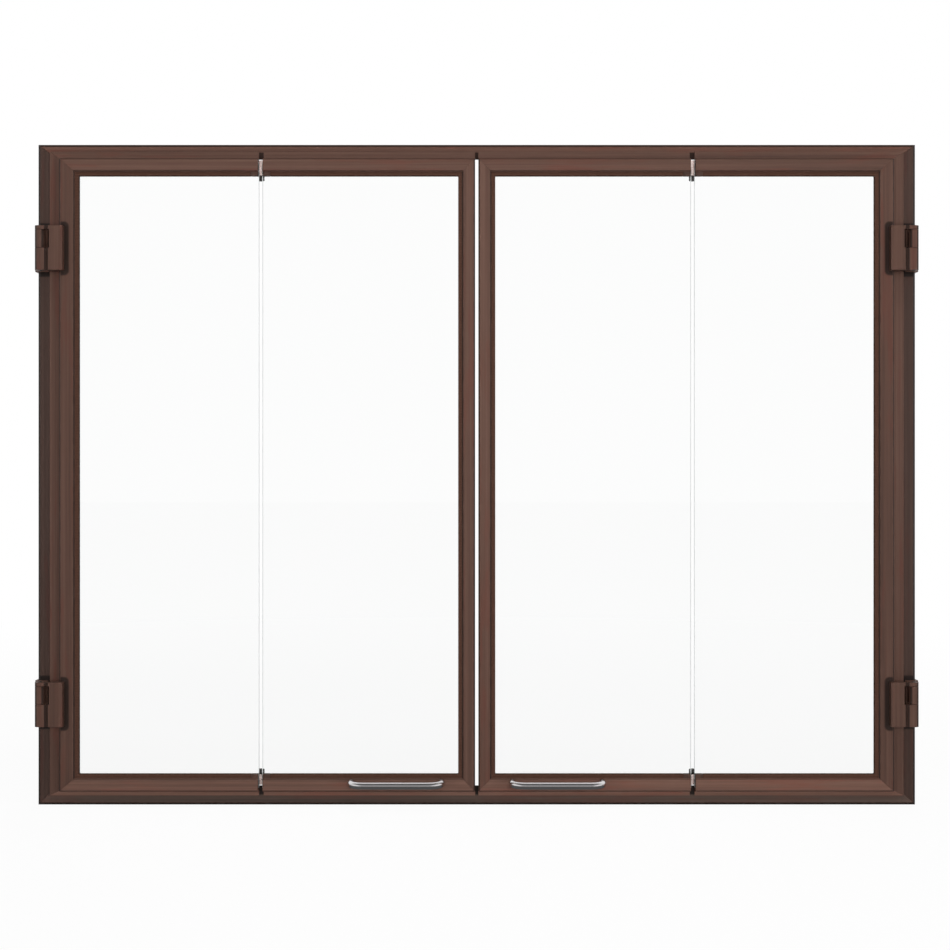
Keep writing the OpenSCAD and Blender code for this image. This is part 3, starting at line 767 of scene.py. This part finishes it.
class DOOR_OT_glass(bpy.types.Operator):
    """Model the panes with ground, seamed edges"""

    bl_idname = "door.glass"
    bl_label = "Glass panes"

    def execute(self, context):
        clear, ground = clear_glass("glass_clear"), ground_glass("glass_ground_edge")
        for side in SIDES:
            for leaf in LEAVES:
                node = f"{side}_{leaf}_glass"
                low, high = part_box(node)
                deselect()
                bpy.ops.mesh.primitive_cube_add(size=1, location=(low + high) / 2)
                pane = bpy.context.object
                pane.scale = high - low
                settle(pane)
                edit(pane)
                bpy.ops.mesh.bevel(offset=context.scene.door_sizes.glass_seam, segments=1,
                                   affect="EDGES")
                done()
                pane.name = pane.data.name = node + "_pane"
                finish_piece(pane, f"{side}_{leaf}", [clear, ground], [node])
                for p in pane.data.polygons:
                    p.material_index = int(abs(p.normal.y) < FACING)
        return {"FINISHED"}


class DOOR_OT_gaskets(bpy.types.Operator):
    """Round the gaskets' beads and give them their weave"""

    bl_idname = "door.gaskets"
    bl_label = "Gaskets"

    def execute(self, context):
        edge = context.scene.door_sizes.gasket_edge
        weave = woven_gasket("gasket_woven")
        for side in SIDES:
            for leaf in LEAVES:
                soften(f"{side}_{leaf}_gasket", edge, [weave], segments=3)
        return {"FINISHED"}


def round_head(radius, height, middle):
    deselect()
    bpy.ops.mesh.primitive_cylinder_add(vertices=ROUND, radius=radius, depth=height,
                                        location=(0, 0, middle))
    return settle(bpy.context.object)


def cut_cross(head, radius, depth, top):
    """Cuts a tapered cross recess into a screw head whose top is at this height."""
    length_share, width_share, taper, sharp = 1.1, 0.30, 0.45, 40
    for turn in (0, QUARTER):
        deselect()
        bpy.ops.mesh.primitive_cube_add(size=1, location=(0, 0, top))
        arm = bpy.context.object
        arm.scale = (length_share * radius, width_share * radius, 2 * depth)
        settle(arm)
        edit(arm, lambda middle, normal: normal.z < -FACING)
        bpy.ops.transform.resize(value=(taper, taper, 1))
        arm = done()
        arm.rotation_euler.z = turn
        cut_away(head, settle(arm))
    return smooth(outward(head), sharp)


def pan_screw(radius, height, depth):
    """A pan head with a cross recess, standing on the origin along Z."""
    crown = 0.62    # share of the height that is rounded
    head = round_head(radius, height, height / 2)
    edit(head, lambda middle, along: middle.z > height - DOUBLE_GAP, "EDGE")
    bpy.ops.mesh.bevel(offset=crown * height, segments=5, affect="EDGES")
    return cut_cross(done(), radius, depth, height)


def flush_screw(radius, height, depth):
    """A countersunk head with a cross recess, its flat top on the origin, its neck below."""
    neck, rim = 0.6, 0.05    # shares of the radius
    head = round_head(radius, height, -height / 2)
    edit(head, lambda middle, normal: normal.z < -FACING)
    bpy.ops.transform.resize(value=(neck, neck, 1))
    head = done()
    edit(head, lambda middle, normal: normal.z > FACING)
    bpy.ops.mesh.bevel(offset=rim * radius, segments=2, affect="EDGES")
    return cut_cross(done(), radius, depth, 0)


# Rotation that turns +Z to each way.
TURN = {"+X": (0, QUARTER, 0), "-X": (0, -QUARTER, 0), "+Y": (-QUARTER, 0, 0)}


def screw_heads(node, name, left_way, right_way, make_head, sink=0.0):
    """A new head on each screw of a CAD node, joined to one piece of this name.

    The heads look left_way on the door's left half and right_way on its right half.
    make_head(radius) makes one at the origin, which goes this much under the screw's outer end.
    """
    heads = []
    for low, high in solids(node):
        way = left_way if low.x < 0 else right_way
        axis, outwards = "XYZ".index(way[1]), way[0] == "+"
        spot = (low + high) / 2
        spot[axis] = high[axis] - sink if outwards else low[axis] + sink
        master = make_head((high.z - low.z) / 2)
        heads.append(copy_of(master, spot, TURN[way]))
        bpy.data.objects.remove(master)
    return joined(heads, name)


def domed_pin(low, high, dome):
    """A hinge pin between these corners, with a dome of this height on both ends."""
    shoulder, shoulder_width, crown_width, sharp = 0.3, 0.86, 0.5, 60
    deselect()
    bpy.ops.mesh.primitive_cylinder_add(vertices=PIN_ROUND, radius=(high.x - low.x) / 2,
                                        depth=high.z - low.z, location=(low + high) / 2)
    pin = settle(bpy.context.object)
    for way in (-1, 1):
        edit(pin, lambda spot, normal: way * normal.z > FACING)
        for rise, width in ((shoulder, shoulder_width), (1 - shoulder, crown_width)):
            extrude(z=way * rise * dome)
            bpy.ops.transform.resize(value=(width, width, 1))
        done()
    return smooth(outward(pin), sharp)


def grooved_blocks(side, inset, depth):
    """The hinge blocks with a valley down their front, between the barrel and the block."""
    node = side + "_hinge_blocks"
    blocks = copy_of(NODES[node])
    blocks.name = blocks.data.name = node + "_grooved"
    outward(blocks)
    width, overrun = math.sqrt(2) * depth, 4 * MM
    for low, high in solids(node):
        x = low.x + inset if side == "left" else high.x - inset
        deselect()
        bpy.ops.mesh.primitive_cube_add(size=1, location=(x, low.y, (low.z + high.z) / 2),
                                        rotation=(0, 0, QUARTER / 2))
        wedge = bpy.context.object
        wedge.scale = (width, width, high.z - low.z + overrun)
        cut_away(blocks, settle(wedge))
    return blocks


class DOOR_OT_side_hinges(bpy.types.Operator):
    """Finish the hinge blocks and straps, and model their valleys, pins and screws"""

    bl_idname = "door.side_hinges"
    bl_label = "Side hinges"

    def execute(self, context):
        sizes = context.scene.door_sizes
        steel = [brushed_bronze("hinge_bronze", **HINGES), worn_bronze("hinge_worn_edge")]
        dark = blackened_steel("hinge_pin_steel")
        for side in SIDES:
            soften("hinge_straps_" + side, HINGE_EDGE, steel)
            blocks = grooved_blocks(side, sizes.valley_inset, sizes.valley_depth)
            apply_all(soften(blocks, HINGE_EDGE, steel))
            finish_piece(blocks, side + "_outer", steel,
                         [side + "_hinge_blocks"])
            pins = [domed_pin(low, high, sizes.pin_dome)
                    for low, high in solids(side + "_hinge_pins")]
            finish_piece(joined(pins, side + "_hinge_pins_domed"), side + "_outer",
                         [dark], [side + "_hinge_pins"])
        heads = screw_heads("hinge_strap_screws", "hinge_strap_screw_heads", "-X", "+X",
                            lambda radius: flush_screw(radius, STRAP_HEAD, sizes.recess_depth))
        finish_piece(heads, "frame", [dark], ["hinge_strap_screws"])
        return {"FINISHED"}


class DOOR_OT_fold_hinges(bpy.types.Operator):
    """Finish the fold hinges and clips, and model the fold hinges' screws"""

    bl_idname = "door.fold_hinges"
    bl_label = "Fold hinges"

    def execute(self, context):
        shallow, clip_metal, clip_bloom = 0.6, 0.1, 1.5
        depth = shallow * context.scene.door_sizes.recess_depth
        # The fold hinges' near-white finish is partly painted highlight.
        bright = highlit_nickel_wash("fold_hinge_nickel")
        dark = blackened_steel("fold_pin_steel")
        brown = blackened_steel("clip_lacquer", clip_metal,
                                context.scene.door_finishes.clip_brown, clip_bloom)
        for side in SIDES:
            soften(side + "_fold_pins", FOLD_PIN_EDGE, [dark], segments=3)
            for leaf in LEAVES:
                soften(f"{side}_{leaf}_fold_plates", PLATE_EDGE, [bright])
                soften(f"{side}_{leaf}_end_clips", END_CLIP_EDGE, [brown], segments=3)
                node = f"{side}_{leaf}_fold_screws"
                heads = screw_heads(node, node + "_heads", "+Y", "+Y",
                                    lambda radius: pan_screw(radius, FOLD_HEAD, depth),
                                    FOLD_HEAD)
                finish_piece(heads, f"{side}_{leaf}", [bright], [node])
        return {"FINISHED"}


class DOOR_OT_handles(bpy.types.Operator):
    """Bend the two rod handles and finish their screws"""

    bl_idname = "door.handles"
    bl_label = "Handles"

    def execute(self, context):
        sharp, steps = 50, 16
        bend = context.scene.door_sizes.handle_bend
        nickel = satin_nickel("handle_satin_nickel")
        zinc = plated_zinc("handle_screw_zinc")
        for side in SIDES:
            low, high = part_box(side + "_handle")
            radius, level = (high.z - low.z) / 2, (high.z + low.z) / 2
            first, last = low.x + radius, high.x - radius
            turn_y = low.y + radius + bend
            deselect()
            bpy.ops.mesh.primitive_circle_add(
                vertices=ROUND, radius=radius, fill_type="NGON",
                location=(first, high.y, level), rotation=(QUARTER, 0, 0))
            rod = settle(bpy.context.object)
            edit(rod)
            extrude(y=turn_y - high.y)
            bpy.ops.mesh.spin(steps=steps, angle=-QUARTER, axis=(0, 0, 1),
                              center=(first + bend, turn_y, level))
            extrude(x=last - first - 2 * bend)
            bpy.ops.mesh.spin(steps=steps, angle=-QUARTER, axis=(0, 0, 1),
                              center=(last - bend, turn_y, level))
            extrude(y=high.y - turn_y)
            rod = done()
            rod.name = rod.data.name = side + "_handle_rod"
            smooth(outward(rod), sharp)
            finish_piece(rod, side + "_inner", [nickel], [side + "_handle"])
            soften(side + "_handle_screws", HANDLE_SCREW_EDGE, [zinc])
        return {"FINISHED"}


class DOOR_OT_catches(bpy.types.Operator):
    """Finish the magnetic catches, strikes and bumpers, and model the catches' screws"""

    bl_idname = "door.catches"
    bl_label = "Catches"

    def execute(self, context):
        bracket_metal = 0.3
        depth = context.scene.door_sizes.recess_depth
        zinc = plated_zinc("strike_zinc")
        soften("catch_brackets", BRACKET_EDGE, [blackened_steel("catch_steel", bracket_metal)],
               segments=3)
        soften("catch_magnets", MAGNET_EDGE, [magnet_ferrite("catch_ferrite")])
        soften("bumpers", BUMPER_EDGE, [bumper_rubber("bumper_rubber")], segments=4)
        for side in SIDES:
            soften(side + "_strike", PLATE_EDGE, [zinc])
        heads = screw_heads("catch_screws", "catch_screw_heads", "+Y", "+Y",
                            lambda radius: pan_screw(radius, CATCH_HEAD, depth), CATCH_HEAD)
        finish_piece(heads, "frame", [zinc], ["catch_screws"])
        return {"FINISHED"}


class DOOR_OT_mounting(bpy.types.Operator):
    """Finish the mounting clips and model their screws"""

    bl_idname = "door.mounting"
    bl_label = "Mounting clips"

    def execute(self, context):
        deep = 1.4
        depth = deep * context.scene.door_sizes.recess_depth
        zinc = plated_zinc("clip_zinc")
        soften("mounting_clips", MOUNTING_CLIP_EDGE, [zinc])
        heads = screw_heads("mounting_clip_screws", "mounting_clip_screw_heads", "+X", "-X",
                            lambda radius: pan_screw(radius, MOUNTING_HEAD, depth),
                            MOUNTING_HEAD)
        finish_piece(heads, "frame", [zinc], ["mounting_clip_screws"])
        return {"FINISHED"}


# ---- the studio ----

# Each lamp's place, in metres from the middle of the frame's face at floor level, and its size.
LAMPS = {
    "top": ((0.3, -0.8, 2.2), (1.6, 0.6)),
    "front": ((0.2, -2.4, 0.6), (0.7, 0.5)),
    "left": ((-1.35, -1.7, 0.15), (0.8, 0.25)),
    "right": ((1.35, -1.7, 0.15), (0.8, 0.25)),
    "back": ((0.6, 2.055, 1.8), (1.6, 1.2)),
}
EYE_X, EYE_Z = -0.0018, 0.3437    # the camera's place across and up, from the photo's frame
SENSOR = 36                       # the camera's sensor, in millimetres
FLOOR_SIZE, FLOOR_DROP = 40, 0.2 * MM
FLOOR_GREY = (0.93, 0.93, 0.93, 1)
WHITE, BLACK = (1, 1, 1, 1), (0, 0, 0, 1)


def rays(s):
    """1 for what the camera sees, straight or through glass, and 1 for what a gloss mirrors."""
    camera, glossy, through = [s.node("ShaderNodeLightPath", output=o) for o in
                               ("Is Camera Ray", "Is Glossy Ray", "Is Transmission Ray")]
    return s.function("MINIMUM", camera + through, 1), glossy


class DOOR_OT_stage(bpy.types.Operator):
    """Set the floor, the lamps, the white surround and the camera"""

    bl_idname = "door.stage"
    bl_label = "Studio"

    def floor(self, shade, level):
        """A matt floor that keeps the door's shadow, looks white and is mirrored dark in front."""
        near, shadow_near, shadow_far, front, rear = 0.94, 0.6, 2.4, 0.05, 0.5
        deselect()
        bpy.ops.mesh.primitive_plane_add(size=FLOOR_SIZE, location=(0, 0, level - FLOOR_DROP))
        floor = settle(bpy.context.object)
        floor.name = floor.data.name = "studio_floor"
        s = new_material("studio_floor")
        straight, glossy = rays(s)
        mirrored = (1 - straight) * glossy
        spot = s.coordinates("Object", PLAIN)
        away = s.node("ShaderNodeVectorMath", {"operation": "LENGTH"}, {0: spot}, "Value")
        in_front = 1 - s.step(s.part(spot, "Y"), front, rear)
        clear = near + (1 - near) * s.step(away, shadow_near, shadow_far)
        seen = clear * straight + mirrored * (1 - (1 - shade) * in_front)
        matt = s.node("ShaderNodeBsdfDiffuse", {}, {"Color": FLOOR_GREY})
        unlit = s.node("ShaderNodeEmission", {}, {"Color": BLACK})
        glow = s.node("ShaderNodeEmission", {}, {"Color": WHITE, "Strength": 1.0})
        matt = s.node("ShaderNodeMixShader", {}, {0: mirrored, 1: matt, 2: unlit})
        floor.data.materials.append(
            s.output(s.node("ShaderNodeMixShader", {}, {0: seen, 1: matt, 2: glow})))

    def surround(self, scene, stage):
        """White for the camera, dim for the light, and a room with dark ends for the gloss."""
        side_from, side_to, side_low, side_high = 0.35, 0.75, -0.2, 0.2
        behind_from, behind_to, high_from, high_to = -0.10, 0.35, 0.35, 0.75
        scene.world = scene.world or bpy.data.worlds.new("Studio")
        w = Shader(scene.world)
        across, ahead, above = [w.part(w.coordinates("Generated"), axis) for axis in "XYZ"]
        beside = (w.step(w.size_of(across), side_from, side_to)
                  * w.step(above, side_low, side_high))
        bright = w.most(w.step(ahead, behind_from, behind_to), beside)
        lofty = w.step(above, high_from, high_to)
        mirrored = (stage.room + (1 - stage.room) * bright) * (1 - lofty) + stage.shade * lofty
        seen, glossy = rays(w)
        strength = (stage.ambient + (1 - stage.ambient) * seen
                    + (1 - seen) * glossy * (mirrored - stage.ambient))
        w.output(w.node("ShaderNodeBackground", {}, {"Color": WHITE, "Strength": strength}),
                 "ShaderNodeOutputWorld")

    def lamp(self, name, location, target, size, energy):
        deselect()
        bpy.ops.object.light_add(type="AREA", location=location)
        lamp = bpy.context.object
        lamp.name = name
        lamp.data.shape, lamp.data.size, lamp.data.size_y = "RECTANGLE", *size
        lamp.data.energy = energy
        lamp.rotation_euler = (target - location).to_track_quat("-Z", "Y").to_euler()
        lamp.visible_camera = lamp.visible_glossy = lamp.visible_transmission = False

    def execute(self, context):
        scene, stage = context.scene, context.scene.door_stage
        low, high = CAD_BOX
        self.floor(stage.shade, low.z)
        self.surround(scene, stage)
        for name, (place, size) in LAMPS.items():
            self.lamp(name + "_lamp", Vector(place) + Vector((0, low.y, 0)), (low + high) / 2,
                      size, getattr(stage, name))
        deselect()
        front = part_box("sill")[0].y
        bpy.ops.object.camera_add(location=(EYE_X, front - stage.distance, EYE_Z),
                                  rotation=(QUARTER, 0, 0))
        scene.camera = bpy.context.object
        scene.camera.data.sensor_width = SENSOR
        scene.camera.data.lens = SENSOR * stage.distance / stage.picture_width
        scene.view_settings.view_transform = "Standard"
        return {"FINISHED"}


OPERATORS = (DOOR_OT_steel, DOOR_OT_glass, DOOR_OT_gaskets, DOOR_OT_side_hinges,
             DOOR_OT_fold_hinges, DOOR_OT_handles, DOOR_OT_catches, DOOR_OT_mounting,
             DOOR_OT_stage)


class DOOR_PT_panel(bpy.types.Panel):
    """The steps that dress the door, and their settings"""

    bl_idname = "DOOR_PT_panel"
    bl_label = "Glass door"
    bl_space_type = "VIEW_3D"
    bl_region_type = "UI"
    bl_category = "Glass door"

    def draw(self, context):
        for group in ("door_finishes", "door_sizes", "door_stage"):
            settings = getattr(context.scene, group)
            box = self.layout.box()
            for key in type(settings).__annotations__:
                box.prop(settings, key)
        for operator in OPERATORS:
            self.layout.operator(operator.bl_idname)


GROUPS = {"door_finishes": DoorFinishes, "door_sizes": DoorSizes, "door_stage": DoorStage}


def register():
    for made in (*GROUPS.values(), *OPERATORS, DOOR_PT_panel):
        bpy.utils.register_class(made)
    for key, group in GROUPS.items():
        setattr(bpy.types.Scene, key, PointerProperty(type=group))


def unregister():
    for key in GROUPS:
        delattr(bpy.types.Scene, key)
    for made in reversed((*GROUPS.values(), *OPERATORS, DOOR_PT_panel)):
        bpy.utils.unregister_class(made)


def main():
    register()
    for operator in OPERATORS:
        group, name = operator.bl_idname.split(".")
        getattr(getattr(bpy.ops, group), name)()


if __name__ == "__main__":
    main()
